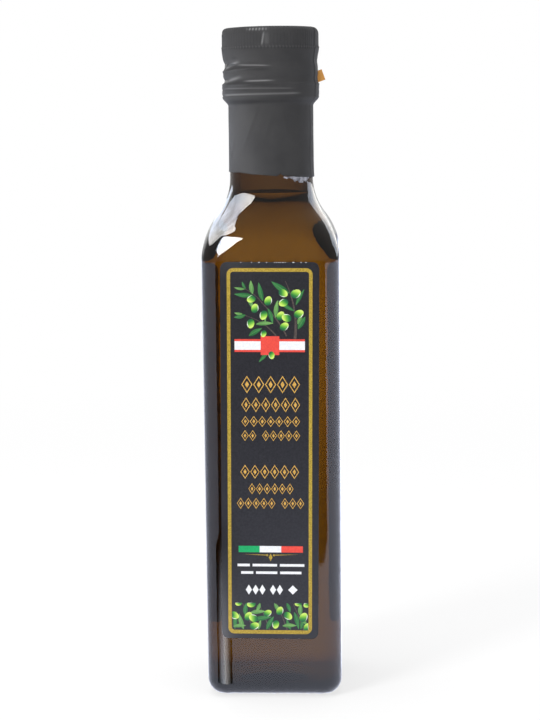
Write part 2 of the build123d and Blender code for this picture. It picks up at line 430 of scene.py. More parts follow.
def make_capsule(material):
    """Thin closed shell.

    Its outside is a radius for each angle and height, then an elliptical edge that stays outside the cap's,
    then a top with a shallow dish. Its inside has fewer rows, a film thickness in."""
    angles = np.linspace(0, TAU, 450, endpoint=False)[None, :]
    levels = np.concatenate([
        np.linspace(HEM, 200.0, 26, endpoint=False),
        np.linspace(200.0, 207.7, 38, endpoint=False),
        np.linspace(207.7, 219.5, 58, endpoint=False),
        np.linspace(219.5, EDGE_LOW, 20, endpoint=False),
    ])[:, None]
    z = levels + (hem_height(angles) - HEM) * (1 - smooth_step(levels, HEM, 193.5))
    radius = capsule_radius(angles, z) + capsule_wrinkles(angles, z) + film_overlap(angles, z)
    turn = np.linspace(0, math.pi / 2, 12)[:, None]
    edge_foot = EDGE_LOW + 0 * turn
    edge = capsule_radius(angles, edge_foot) + film_overlap(angles, edge_foot)
    ribs = knurls(angles)
    tooth = 0.13 * (ribs - 0.5) * hump(turn, 0.75, 0.4)
    edge_z = EDGE_LOW + (TOP - EDGE_LOW - RIM_DROP) * np.sin(turn)
    middle, level, reach = CAP_EDGE
    cap_edge = middle + np.sqrt(np.maximum(reach**2 - np.maximum(edge_z - level, 0) ** 2, 0))
    cap_edge = np.where(edge_z < CAP_EDGE_END, cap_edge, 0)
    rounded = edge - (3.2 - 1.2 * np.cos(angles)) * (1 - np.cos(turn))
    edge_radius = np.maximum(rounded, cap_edge) + tooth
    edge_z = edge_z + 0.06 * (ribs - 0.5) * hump(turn, 1.1, 0.4)
    share = np.array([0.96, 0.91, 0.86, 0.7, 0.46, 0.23])[:, None]
    top_radius = share * edge_radius[-1:]
    top_z = TOP - RIM_DROP - DISH * (1 - smooth_step(share, 0.86, 1.0)) + 0 * angles
    outer_radius = np.minimum(np.concatenate([radius, edge_radius, top_radius]), WIDEST)
    outer_z = np.minimum(np.concatenate([z, edge_z, top_z]), TOP)
    inner_z = np.concatenate([z[::6], edge_z[::4] - FILM, top_z[::2] - FILM])[::-1]
    inner_radius = np.concatenate([radius[::6], edge_radius[::4], top_radius[::2]])[::-1] - FILM
    inner_z[-1] = z[0]
    inner_radius[-1] = radius[0] - FILM
    all_radius = np.concatenate([inner_radius, outer_radius])
    all_z = np.concatenate([inner_z, outer_z])
    rings = around(all_radius, angles, all_z)
    middle_z = TOP - RIM_DROP - DISH
    points, faces = closed_surface(rings, (0, 0, middle_z - FILM), (0, 0, middle_z))
    # Painted highlights and painted shade of the film, carried in its print UV
    painted_light_marks = np.stack(film_painted_light(angles + 0 * all_z, all_z), -1).reshape(-1, 2)
    painted_light_marks = np.concatenate([painted_light_marks, [[0, 0], [0, 0]]])
    return new_piece("capsule_film", points, faces, material, ["shrink_capsule"], uv=painted_light_marks)


def make_scrap(material):
    """Torn, whitish bit of film that stuck to the neck under the capsule's cut edge.

    It follows the neck and the inward curve below it, and sines of the angle make its lower edge ragged."""
    angle = np.radians(np.linspace(-71, -25, 47))[:, None]
    ragged = 0.28 * np.sin(31 * angle) + 0.2 * np.sin(53 * angle + 1) + 0.12 * np.sin(97 * angle)
    depth = np.maximum(0.25, 1.75 * band(angle, -0.98, -0.47, 0.22) + ragged)
    share = np.linspace(1, 0, 6)[None, :]
    z = HEM_RIGHT - (0.3 + depth) * share
    below = np.maximum(NECK_START - z, 0)
    neck = NECK_RADIUS + SHOULDER_HOLLOW - np.sqrt(SHOULDER_HOLLOW**2 - below**2)
    points, faces = sheet(around(neck + 0.07, angle, z), around(neck + 0.01, angle, z))
    return new_piece("film_scrap", points, faces, material, (), False)


def make_tab(material):
    """Strip of film bent out of the side: a slightly curled sheet with square-cut ends."""
    u, v = np.meshgrid(np.linspace(-0.9, 1.7, 9), np.linspace(-1.85, 1.85, 7), indexing="ij")
    rise = math.radians(TAB_RISE)
    x = TAB_ROOT[0] + u * math.cos(rise) - v * math.sin(rise)
    y = TAB_ROOT[1] + 0.05 * u**2 - 0.04 * v * u
    z = TAB_ROOT[2] + u * math.sin(rise) + v * math.cos(rise)
    front, back = (np.stack([x, y + away, z], -1) for away in (-TAB_HALF_THICKNESS, TAB_HALF_THICKNESS))
    points, faces = sheet(front, back)
    return new_piece("tear_strip_end", points, faces, material, ["tear_tab"], False)


# ---------------------------------------------------------------- labels and print


def rounded_outline(half_width, low, high, corner, steps=10):
    """Corner points of a rounded rectangle, counter-clockwise, as (across, up)."""
    turn = np.linspace(0, math.pi / 2, steps)
    parts = []
    for quarter, (sx, z) in enumerate(((1, low), (1, high), (-1, high), (-1, low))):
        angle = turn + (quarter - 1) * math.pi / 2
        cx = sx * (half_width - corner)
        cz = z + corner if z == low else z - corner
        parts.append(np.stack([cx + corner * np.cos(angle), cz + corner * np.sin(angle)], -1))
    return np.concatenate(parts)


def on_label(label, flat, lift):
    """Places (across, up) from the middle of a label's lower edge on its face, lift above the glass.

    They turn with the label about its middle. Past the flat of the face they follow the upright edge."""
    side, middle, shift, lean = label
    lean = math.radians(lean)
    x = flat[..., 0]
    up = flat[..., 1] - LABEL_HEIGHT / 2
    across = x * math.cos(lean) + up * math.sin(lean) - side * shift
    height = middle + up * math.cos(lean) - x * math.sin(lean)
    straight = HALF - CORNER
    turn = np.maximum(np.abs(across) - straight, 0) / (CORNER + lift)
    across = np.sign(across) * (np.minimum(np.abs(across), straight) + (CORNER + lift) * np.sin(turn))
    depth = straight + (CORNER + lift) * np.cos(turn)
    return np.stack([-side * across, side * depth, height], -1)


class Print:
    """Flat shapes of one ink on one label, gathered into one mesh.

    Shapes are given in (across, up) from the middle of the label's lower edge. Each lies a little above the
    one before it, so that those that overlap don't share a face."""

    def __init__(self, label, lift):
        self.label = label
        self.lift = PAPER + lift
        self.points = []
        self.uv = []
        self.faces = []
        self.count = 0

    def add(self, flat, faces, uv=None):
        flat = np.asarray(flat, float)
        self.points.append(on_label(self.label, flat, self.lift))
        self.uv.append(np.asarray(uv, float) if uv is not None else flat / 10)
        self.faces.append(np.where(faces >= 0, faces + self.count, -1))
        self.count += len(flat)
        self.lift += 0.0003

    def shape(self, outline, uv=None):
        """Filled outline, as a fan about its middle."""
        outline = np.asarray(outline, float)
        n = len(outline)
        j = np.arange(n)
        fan = np.stack([j, (j + 1) % n, np.full(n, n), np.full(n, -1)], -1)
        points = np.concatenate([outline, [outline.mean(0)]])
        self.add(points, fan, np.concatenate([uv, [uv.mean(0)]]) if uv is not None else None)

    def ring(self, outer, inner):
        """Band between two outlines of the same number of points."""
        n = len(outer)
        j = np.arange(n)
        k = (j + 1) % n
        self.add(np.concatenate([outer, inner]), np.stack([j, k, k + n, j + n], -1))

    def bar(self, x0, x1, low, high):
        self.shape([[x0, low], [x1, low], [x1, high], [x0, high]])

    def lozenge(self, x, up, half_width, half_height, stroke=0):
        """Lozenge, filled or as an outline of a stroke's width."""
        corners = np.array([[1.0, 0.0], [0.0, 1.0], [-1.0, 0.0], [0.0, -1.0]])
        size = np.array([half_width, half_height])
        if stroke:
            inner = size - stroke * np.hypot(*size) / size[::-1]
            self.ring(corners * size + (x, up), corners * inner + (x, up))
        else:
            self.shape(corners * size + (x, up))

    def piece(self, name, material, slot):
        points, faces, uv = (np.concatenate(parts) for parts in (self.points, self.faces, self.uv))
        return new_piece(name, points, faces, material, (), False, uv)


def sheet(front, back):
    """Points and faces of a closed sheet between two grids of points of the same shape."""
    rows, columns, _ = front.shape
    i = np.arange(rows - 1)[:, None]
    j = np.arange(columns - 1)[None, :]
    corner = i * columns + j
    quad = np.stack([corner, corner + 1, corner + columns + 1, corner + columns], -1).reshape(-1, 4)
    count = rows * columns
    grid = np.arange(count).reshape(rows, columns)
    loop = np.concatenate([grid[0, :-1], grid[:-1, -1], grid[-1, :0:-1], grid[:0:-1, 0]])
    after = np.roll(loop, -1)
    rim = np.stack([after, loop, loop + count, after + count], -1)
    points = np.concatenate([front.reshape(-1, 3), back.reshape(-1, 3)])
    return points, np.concatenate([quad, quad[:, ::-1] + count, rim])


def make_paper(name, label, material, node):
    """Closed sheet with rounded corners, let slightly into the glass, with its face just under the print.

    Rows near its ends get shorter by the corners' circle: its radius times one less the sine of the turn."""
    turn = np.linspace(0, math.pi / 2, 9)
    ends = LABEL_CORNER * (1 - np.cos(turn))
    up = np.concatenate([ends, [LABEL_HEIGHT / 2], LABEL_HEIGHT - ends[::-1]])
    inset = LABEL_CORNER * (1 - np.sin(turn))
    half = LABEL_HALF - np.concatenate([inset, [0], inset[::-1]])
    share = np.sin(np.linspace(-1, 1, 25) * math.pi / 2)
    flat = np.stack([half[:, None] * share, up[:, None] + 0 * share], -1)
    points, faces = sheet(on_label(label, flat, PAPER), on_label(label, flat, -0.06))
    return new_piece(name, points, faces, material, [node], False)


def turned(u, v, angle, x, z):
    """Points (u, v) turned by an angle in degrees and moved by (x, z)."""
    a = math.radians(angle)
    return np.stack([x + u * math.cos(a) - v * math.sin(a), z + u * math.sin(a) + v * math.cos(a)], -1)


def leaf_outline(x, z, length, width, angle, bend=0.0, steps=16):
    """Pointed oval from (x, z) in the direction angle, with the coordinates along and across it.

    Its half width follows a sine that peaks a little before the middle, and bend shifts it all by a sine."""
    s = np.linspace(0, 1, steps)
    swell = width / 2 * np.sin(math.pi * s**0.85) ** 0.9
    along = np.concatenate([s, s[-2:0:-1]])
    across = np.concatenate([-swell, swell[-2:0:-1]])
    curve = bend * np.sin(math.pi * along)
    flat = turned(along * length, across + curve, angle, x, z)
    return flat, np.stack([along, across / width + 0.5], -1)


def olive_outline(x, z, size, angle, steps=28):
    """Egg-shaped outline about (x, z), with coordinates that run from 0 to 1 across it.

    It is an ellipse, 0.76 as wide as it is long, with one end drawn out by a cosine."""
    t = np.linspace(0, TAU, steps, endpoint=False)
    u = np.cos(t) * (1 + 0.06 * np.cos(t))
    v = 0.76 * np.sin(t)
    uv = np.stack([0.5 + 0.5 * np.cos(t), 0.5 + 0.5 * np.sin(t)], -1)
    return turned(size * u, size * v, angle, x, z), uv


def twig(ink, start, middle, end, thick, thin, steps=14):
    """Tapering stroke along a parabola through three control points."""
    t = np.linspace(0, 1, steps)[:, None]
    path = (1 - t) ** 2 * np.array(start) + 2 * t * (1 - t) * np.array(middle) + t**2 * np.array(end)
    way = np.gradient(path, axis=0)
    normal = np.stack([-way[:, 1], way[:, 0]], -1) / np.linalg.norm(way, axis=1)[:, None]
    half = (thick + (thin - thick) * t) / 2
    left = path + normal * half
    right = path - normal * half
    i = np.arange(steps - 1)
    quads = np.stack([i + steps, i + 1 + steps, i + 1, i], -1)
    ink.add(np.concatenate([left, right]), quads)


def clipped(outline, low, high, left, right):
    """Outline held inside a rectangle, as a picture is cut at the edge of its field."""
    return np.stack([np.clip(outline[:, 0], left, right), np.clip(outline[:, 1], low, high)], -1)


# ---------------------------------------------------------------- materials


class Nodes:
    """Short calls to add nodes to the tree of a material or world and to join them."""

    def __init__(self, owner):
        owner.use_nodes = True
        self.tree = owner.node_tree

    def add(self, kind, inputs=None, **settings):
        node = self.tree.nodes.new(kind)
        for key, value in settings.items():
            setattr(node, key, value)
        self.set(node, inputs or {})
        return node

    def set(self, node, inputs):
        """Gives each input its value or joins it to the output of another node."""
        for key, value in inputs.items():
            socket = node.inputs[key]
            if isinstance(value, bpy.types.NodeSocket):
                self.tree.links.new(value, socket)
            else:
                socket.default_value = value

    def split(self, vector):
        """The X, Y and Z of a vector."""
        return self.add("ShaderNodeSeparateXYZ", {"Vector": vector}).outputs

    def uv(self, name):
        return self.add("ShaderNodeUVMap", uv_map=name).outputs[0]

    def ramp(self, factor, stops):
        """Colour or grey ramp from a list of (position, value)."""
        node = self.add("ShaderNodeValToRGB", {"Fac": factor})
        ramp = node.color_ramp
        while len(ramp.elements) < len(stops):
            ramp.elements.new(0.5)
        for element, (position, value) in zip(ramp.elements, stops):
            element.position = position
            element.color = (*value, 1) if isinstance(value, tuple) else (value, value, value, 1)
        return node.outputs["Color"]

    def math(self, operation, a, b=0.0, clamp=False):
        node = self.add("ShaderNodeMath", operation=operation, use_clamp=clamp)
        self.set(node, {0: a, 1: b})
        return node.outputs[0]

    def times(self, a, b):
        return self.math("MULTIPLY", a, b)

    def between(self, value, low, high, bottom=0.0, top=1.0):
        """Bottom below low, top above high, and a smooth rise or fall between them."""
        inputs = {"Value": value, "From Min": low, "From Max": high, "To Min": bottom, "To Max": top}
        return self.add("ShaderNodeMapRange", inputs, interpolation_type="SMOOTHSTEP").outputs[0]

    def brightest(self, *parts):
        """The largest of some strengths, each times the share of the rays that see it."""
        strength = self.times(*parts[0])
        for level, rays in parts[1:]:
            strength = self.math("MAXIMUM", strength, self.times(level, rays))
        return strength

    def mix(self, factor, a, b):
        node = self.add("ShaderNodeMix", data_type="RGBA")
        for socket, value in ((node.inputs[0], factor), (node.inputs[6], a), (node.inputs[7], b)):
            if isinstance(value, bpy.types.NodeSocket):
                self.tree.links.new(value, socket)
            else:
                socket.default_value = (*value, 1) if isinstance(value, tuple) else value
        return node.outputs[2]


class Shader(Nodes):
    """A node material with a Principled surface, in the object's own coordinates."""

    def __init__(self, name):
        self.material = bpy.data.materials.new(name)
        super().__init__(self.material)
        self.surface = self.tree.nodes["Principled BSDF"]
        self.output = self.tree.nodes["Material Output"]
        self.place = self.add("ShaderNodeTexCoord").outputs["Object"]

    def noise(self, scale, detail=2.0, roughness=0.5, vector=None, stretch=None):
        place = vector or self.place
        if stretch:
            place = self.add("ShaderNodeMapping", {"Vector": place, "Scale": stretch}).outputs[0]
        inputs = {"Vector": place, "Scale": scale, "Detail": detail, "Roughness": roughness}
        return self.add("ShaderNodeTexNoise", inputs).outputs["Fac"]

    def grain(self, scale, detail, low, roughness=0.5):
        """Noise spread so that low becomes 0 and 1 less low becomes 1."""
        return self.ramp(self.noise(scale, detail, roughness), [(low, 0.0), (1 - low, 1.0)])

    def bump(self, height, distance, strength=1.0, normal=None):
        inputs = {"Height": height, "Distance": distance, "Strength": strength}
        if normal:
            inputs["Normal"] = normal
        return self.add("ShaderNodeBump", inputs).outputs["Normal"]

    def finish(self, **surface):
        self.set(self.surface, {key.replace("_", " "): value for key, value in surface.items()})
        return self.material


def absorption(shader, color, density):
    node = shader.add("ShaderNodeVolumeAbsorption", {"Color": (*color, 1), "Density": density})
    shader.tree.links.new(node.outputs[0], shader.output.inputs["Volume"])


def glass_material():
    """Dark brown tinted glass, a little wavy, as moulded bottles are, and less smooth under the foot."""
    s = Shader("tinted_glass")
    x, y, z = s.split(s.place)
    reach = s.math("MAXIMUM", s.math("ABSOLUTE", x), s.math("ABSOLUTE", y))
    under = s.times(s.math("LESS_THAN", reach, 0.0174), s.math("LESS_THAN", z, 0.0029))
    rough = s.math("ADD", s.times(under, 0.2), 0.015)
    wave = s.bump(s.noise(70, 1.0), 0.0012, 0.10)
    fine = s.bump(s.noise(420, 2.0), 0.0003, 0.05, wave)
    absorption(s, (0.52, 0.35, 0.08), 720)
    clear = (1, 1, 1, 1)
    return s.finish(Base_Color=clear, Roughness=rough, IOR=1.52, Transmission_Weight=1.0, Normal=fine)


def oil_material():
    """Clear golden oil."""
    s = Shader("golden_oil")
    still = s.bump(s.noise(40, 0.0), 0.0002, 0.03)
    absorption(s, (0.95, 0.88, 0.0), 57)
    clear = (1, 1, 1, 1)
    return s.finish(Base_Color=clear, Roughness=0.0, IOR=1.47, Transmission_Weight=1.0, Normal=still)


def film_material():
    """Dark grey shrunk plastic film, satin and finely puckered, with painted highlights along its creases and
    knurls and painted shade in its folds.
    """
    s = Shader("grey_film")
    color = s.mix(s.grain(90, 3.0, 0.3), (0.046, 0.046, 0.048), (0.058, 0.0575, 0.059))
    # The print UV holds the film's painted highlights (X) and painted shade (Y): pale grey and near black mixed
    # in below
    light, dark, _ = s.split(s.uv("print"))
    color = s.mix(s.times(light, 0.85), color, (0.26, 0.26, 0.265))
    color = s.mix(s.times(dark, 0.7), color, (0.016, 0.016, 0.017))
    rough = s.ramp(s.noise(260, 3.0), [(0.3, 0.56), (0.7, 0.66)])
    slant = s.noise(130, 3.0, 0.55, stretch=(1.0, 1.0, 0.35))
    normal = s.bump(slant, 0.0008, 0.16)
    normal = s.bump(s.noise(1900, 2.0), 0.0001, 0.25, normal)
    return s.finish(Base_Color=color, Roughness=rough, Specular_IOR_Level=0.05, Normal=normal)


def scrap_material():
    """Whitish torn film, uneven."""
    s = Shader("torn_film")
    patches = s.grain(1100, 4.0, 0.38, 0.6)
    color = s.mix(patches, (0.07, 0.07, 0.085), (0.42, 0.42, 0.48))
    return s.finish(Base_Color=color, Roughness=0.4, Normal=s.bump(patches, 0.0001, 0.5))


def cap_material():
    """Black moulded plastic of the closure under the film."""
    s = Shader("black_plastic")
    color = s.mix(s.noise(300, 2.0), (0.012, 0.012, 0.012), (0.02, 0.02, 0.02))
    return s.finish(Base_Color=color, Roughness=0.35, Normal=s.bump(s.noise(900), 0.0001, 0.3))


def tab_material():
    """Copper-coloured film of the tear strip."""
    s = Shader("copper_film")
    color = s.mix(s.noise(700, 3.0), (0.80, 0.34, 0.065), (0.97, 0.50, 0.13))
    return s.finish(Base_Color=color, Roughness=0.42, Normal=s.bump(s.noise(1500, 2.0), 0.0001, 0.3))


def paper_material():
    """Slate-coloured uncoated paper, finely mottled and slightly cloudy."""
    s = Shader("slate_paper")
    mottle = s.noise(1500, 4.0, 0.65)
    cloud = s.noise(60, 2.0)
    grain = s.ramp(mottle, [(0.35, 0.0), (0.65, 1.0)])
    color = s.mix(grain, (0.013, 0.013, 0.0165), (0.024, 0.0235, 0.0295))
    color = s.mix(s.times(cloud, 0.35), color, (0.016, 0.016, 0.021))
    normal = s.bump(mottle, 0.00012, 0.4)
    return s.finish(Base_Color=color, Roughness=0.45, Specular_IOR_Level=0.5, Normal=normal)


def gold_material(name, dark, light):
    """Gold printing ink with the grain of the paper under it."""
    s = Shader(name)
    grain = s.grain(2600, 3.0, 0.38, 0.6)
    color = s.mix(grain, dark, light)
    return s.finish(Base_Color=color, Roughness=0.45, Normal=s.bump(grain, 0.00006, 0.4))


def ink_material(name, color, shade):
    """Opaque printing ink, slightly uneven."""
    s = Shader(name)
    mixed = s.mix(s.grain(1800, 3.0, 0.35), color, shade)
    return s.finish(Base_Color=mixed, Roughness=0.5, Normal=s.bump(s.noise(1500, 3.0), 0.00008, 0.3))


def olive_material():
    """Printed olives: deep green on one side, through leaf green to yellow-green, with a white glint."""
    s = Shader("olive_print")
    uv = s.uv("print")
    u, v, _ = s.split(uv)
    side = s.math("ADD", s.times(u, 0.75), s.times(v, 0.35))
    stops = [(0.14, (0.004, 0.075, 0.045)), (0.40, (0.03, 0.25, 0.04)), (0.60, (0.19, 0.52, 0.05))]
    stops += [(0.80, (0.55, 0.80, 0.12)), (0.98, (0.72, 0.88, 0.22))]
    color = s.ramp(side, stops)
    away = s.add("ShaderNodeVectorMath", {0: uv, 1: (0.36, 0.60, 0.0)}, operation="DISTANCE")
    glint = s.ramp(away.outputs["Value"], [(0.53, 0.0), (0.59, 1.0)])
    low = s.ramp(v, [(0.14, 0.9), (0.28, 0.0)])
    color = s.mix(s.times(glint, low), color, (0.95, 0.97, 0.9))
    return s.finish(Base_Color=color, Roughness=0.5)


def leaf_material(name, base, tip, rib):
    """Printed leaf, lighter towards its tip and along its rib."""
    s = Shader(name)
    u, v, _ = s.split(s.uv("print"))
    color = s.mix(u, base, tip)
    middle = s.ramp(v, [(0.40, 0.0), (0.5, 0.75), (0.60, 0.0)])
    half = s.ramp(v, [(0.48, 0.0), (0.52, 0.22)])
    color = s.mix(half, color, rib)
    color = s.mix(middle, color, rib)
    vein = s.times(s.grain(1500, 2.0, 0.4), 0.25)
    return s.finish(Base_Color=s.mix(vein, color, base), Roughness=0.5)


# ---------------------------------------------------------------- pieces

glass = glass_material()
oil = oil_material()
film = film_material()
paper = paper_material()
border_gold = gold_material("border_gold", (0.31, 0.21, 0.018), (0.54, 0.38, 0.045))
text_gold = gold_material("text_gold", (0.55, 0.30, 0.05), (0.76, 0.46, 0.10))
white_ink = ink_material("white_ink", (0.90, 0.91, 0.94), (0.80, 0.82, 0.87))
red_ink = ink_material("red_ink", (0.84, 0.075, 0.05), (0.76, 0.06, 0.045))
green_ink = ink_material("green_ink", (0.0, 0.42, 0.13), (0.0, 0.36, 0.11))
twig_ink = ink_material("twig_ink", (0.11, 0.085, 0.075), (0.06, 0.048, 0.045))
olives = olive_material()
leaf_dark = leaf_material("leaf_dark", (0.012, 0.12, 0.03), (0.03, 0.22, 0.06), (0.10, 0.33, 0.09))
leaf_light = leaf_material("leaf_light", (0.06, 0.22, 0.05), (0.16, 0.40, 0.10), (0.28, 0.52, 0.17))

make_glass(glass)
make_oil(oil)
make_capsule(film)
make_scrap(scrap_material())
make_tab(tab_material())
cap_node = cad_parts["screw_cap"]
cap_node.data.materials.clear()
cap_node.data.materials.append(cap_material())
make_paper("front_paper", FRONT_LABEL, paper, "front_label")
make_paper("back_paper", BACK_LABEL, paper, "back_label")

border_outer = rounded_outline(14.2, 1.7, 126.35, 2.1, 12)
border_inner = rounded_outline(13.05, 3.0, 125.15, 1.0, 12)
for name, label in (("front", FRONT_LABEL), ("back", BACK_LABEL)):
    border = Print(label, 0.02)
    border.ring(border_outer, border_inner)
    border.piece(name + "_border", border_gold, "gold_ink")


def lozenge_line(ink, groups, left, right, low, high):
    """A line of print as ornaments: tall open lozenges in groups, each with a small one at its heart.

    The groups give the number of lozenges, and between two groups 0.7 of the place of one is left free."""
    step = (right - left) / (sum(groups) + 0.7 * (len(groups) - 1))
    middle = (low + high) / 2
    at = left + step / 2
    for number in groups:
        for i in range(number):
            ink.lozenge(at, middle, 0.47 * step, (high - low) / 2, 0.075 * step)
            ink.lozenge(at, middle, 0.17 * step, 0.2 * (high - low))
            at += step
        at += 0.7 * step


def dash_line(ink, lengths, left, right, low, high):
    """A line of small print as one bar for each word, with a gap of 0.9 of their unit between them."""
    unit = (right - left) / (sum(lengths) + 0.9 * (len(lengths) - 1))
    at = left
    for length in lengths:
        ink.bar(at, at + length * unit, low, high)
        at += (length + 0.9) * unit


# Worn specks along the front label's upper edge
worn_edge = Print(FRONT_LABEL, 0.02)
rng = np.random.default_rng(3)
for x in (-9.5, -6.0, -3.5, -1.0, 1.6, 2.3, 3.1, 3.6, 4.4, 5.2, 7.7, 8.0, 10.4, 12.0):
    worn_edge.lozenge(x, LABEL_HEIGHT - 0.16, rng.uniform(0.12, 0.34), 0.14)
worn_edge.piece("worn_specks", white_ink, "white_ink")

# Lines of ornaments on the front, in gold
gold_lines = Print(FRONT_LABEL, 0.02)
for groups, left, right, low, high in (
    ((5,), -9.6, 10.2, 84.5, 90.4),
    ((6,), -9.6, 10.2, 78.1, 83.1),
    ((7,), -9.6, 10.2, 73.1, 76.8),
    ((2, 5), -9.6, 10.2, 68.3, 72.0),
    ((6,), -10.0, 9.9, 55.4, 60.2),
    ((6,), -7.3, 8.0, 50.1, 53.9),
    ((5, 3), -11.2, 11.6, 45.1, 48.9),
):
    lozenge_line(gold_lines, groups, left, right, low, high)
gold_lines.piece("gold_lines", text_gold, "gold_ink")

# Band of colour fields under the upper picture
band_white = Print(FRONT_LABEL, 0.02)
band_white.bar(-11.7, 11.7, 99.1, 102.0)
band_red = Print(FRONT_LABEL, 0.04)
band_red.bar(-11.7, 11.7, 102.0, 102.7)
band_red.bar(-11.7, 11.7, 98.4, 99.1)
band_red.bar(-3.0, 3.2, 97.4, 103.7)

# Three fields near the foot of the label, then lines of bars, lozenges, and a rule with lozenges
band_green = Print(FRONT_LABEL, 0.02)
band_green.bar(-10.6, -3.5, 30.1, 32.3)
band_white.bar(-3.5, 3.8, 30.1, 32.3)
band_red.bar(3.8, 11.1, 30.1, 32.3)
band_green.piece("green_field", green_ink, "green_ink")
band_red.piece("red_fields", red_ink, "red_ink")

dash_line(band_white, (4, 8, 8), -11.0, 11.6, 25.2, 26.1)
dash_line(band_white, (4, 7, 7), -9.8, 10.6, 22.6, 23.5)
for x in (-7.2, -4.9, -2.6, 1.0, 3.3):
    band_white.lozenge(x, 17.1, 1.05, 1.75)
band_white.lozenge(7.7, 17.1, 1.6, 1.6)
band_white.piece("white_fields", white_ink, "white_ink")

rule = Print(FRONT_LABEL, 0.02)
for way in (-1, 1):
    near = way * 1.4 + 0.2
    rule.shape(np.array([[near, 29.0], [way * 9.6 + 0.2, 29.45], [near, 29.3]])[::way])
    rule.lozenge(way * 1.15 + 0.2, 29.1, 0.45, 0.45)
rule.lozenge(0.2, 28.4, 0.65, 1.35)
rule.piece("gold_rule", border_gold, "gold_ink")

# Olive sprigs
olive_shapes = Print(FRONT_LABEL, 0.045)
dark_leaves = Print(FRONT_LABEL, 0.025)
light_leaves = Print(FRONT_LABEL, 0.035)
twigs = Print(FRONT_LABEL, 0.02)


def add_leaves(box, rows):
    """Leaves cut off at the edges of a box, from rows of place, length, width, angle and 1 for dark."""
    for x, up, length, width, angle, dark in rows:
        outline, uv = leaf_outline(x, up, length, width, angle, 0.15)
        (dark_leaves if dark else light_leaves).shape(clipped(outline, *box), uv)


def sprig_picture():
    """Two upright sprigs with leaves and olives, above the band."""
    twig(twigs, (5.6, 103.7), (3.6, 108.5), (-2.6, 114.9), 0.5, 0.3)
    twig(twigs, (-2.6, 114.9), (-5.0, 118.1), (-8.4, 119.5), 0.3, 0.15)
    twig(twigs, (2.2, 103.8), (-2.5, 109.5), (-9.6, 110.9), 0.45, 0.15)
    twig(twigs, (8.4, 102.8), (9.6, 112.5), (5.2, 122.1), 0.95, 0.15)
    add_leaves((103.7, 122.9, -11.8, 11.8), (
        (-8.2, 119.4, 3.6, 0.9, 172, 0), (-7.9, 119.5, 2.6, 0.9, 118, 1), (-5.6, 117.7, 4.6, 1.5, 98, 0),
        (-5.6, 117.3, 6.2, 1.5, 176, 1), (-2.2, 115.4, 6.4, 1.6, 103, 1), (-7.4, 116.5, 4.4, 1.2, -62, 0),
        (-9.0, 111.1, 2.8, 0.9, 172, 0), (-8.0, 110.8, 4.0, 1.4, 192, 1), (-4.6, 107.7, 5.9, 1.3, 3, 0),
        (-6.9, 103.8, 5.0, 1.6, 30, 1), (-0.6, 113.0, 5.4, 1.4, -72, 1), (2.0, 109.9, 5.8, 1.5, 84, 0),
        (-1.7, 112.1, 4.2, 0.7, -88, 0), (6.6, 118.0, 7.2, 1.9, 147, 1), (7.4, 116.7, 2.6, 1.0, 78, 0),
        (8.7, 114.1, 6.0, 1.2, 62, 1), (8.3, 112.1, 6.6, 1.2, 148, 1), (9.4, 106.1, 5.0, 1.7, 58, 1),
        (9.3, 107.7, 3.6, 1.2, 64, 0),
    ))
    for x, up, size, angle in (
        (-6.0, 116.1, 1.5, 200), (-4.9, 112.9, 1.55, 75), (-0.5, 115.4, 1.6, 70), (-2.0, 110.8, 1.6, 250),
        (-6.3, 108.0, 1.6, 265), (-2.0, 104.6, 1.2, 250), (4.4, 118.1, 1.6, 330), (4.7, 114.9, 1.6, 200),
        (8.6, 117.8, 1.75, 35), (9.6, 111.1, 1.7, 30), (3.6, 110.4, 1.6, 60), (5.7, 109.8, 1.65, 160),
        (4.8, 106.9, 1.6, 40),
    ):
        outline, uv = olive_outline(x, up, size, angle)
        olive_shapes.shape(outline, uv)
    # small sprig that hangs below the band
    outline, uv = leaf_outline(-0.4, 99.1, 5.2, 1.3, -128, 0.1)
    dark_leaves.shape(outline, uv)
    outline, uv = olive_outline(0.6, 97.4, 1.3, 280)
    olive_shapes.shape(outline, uv)


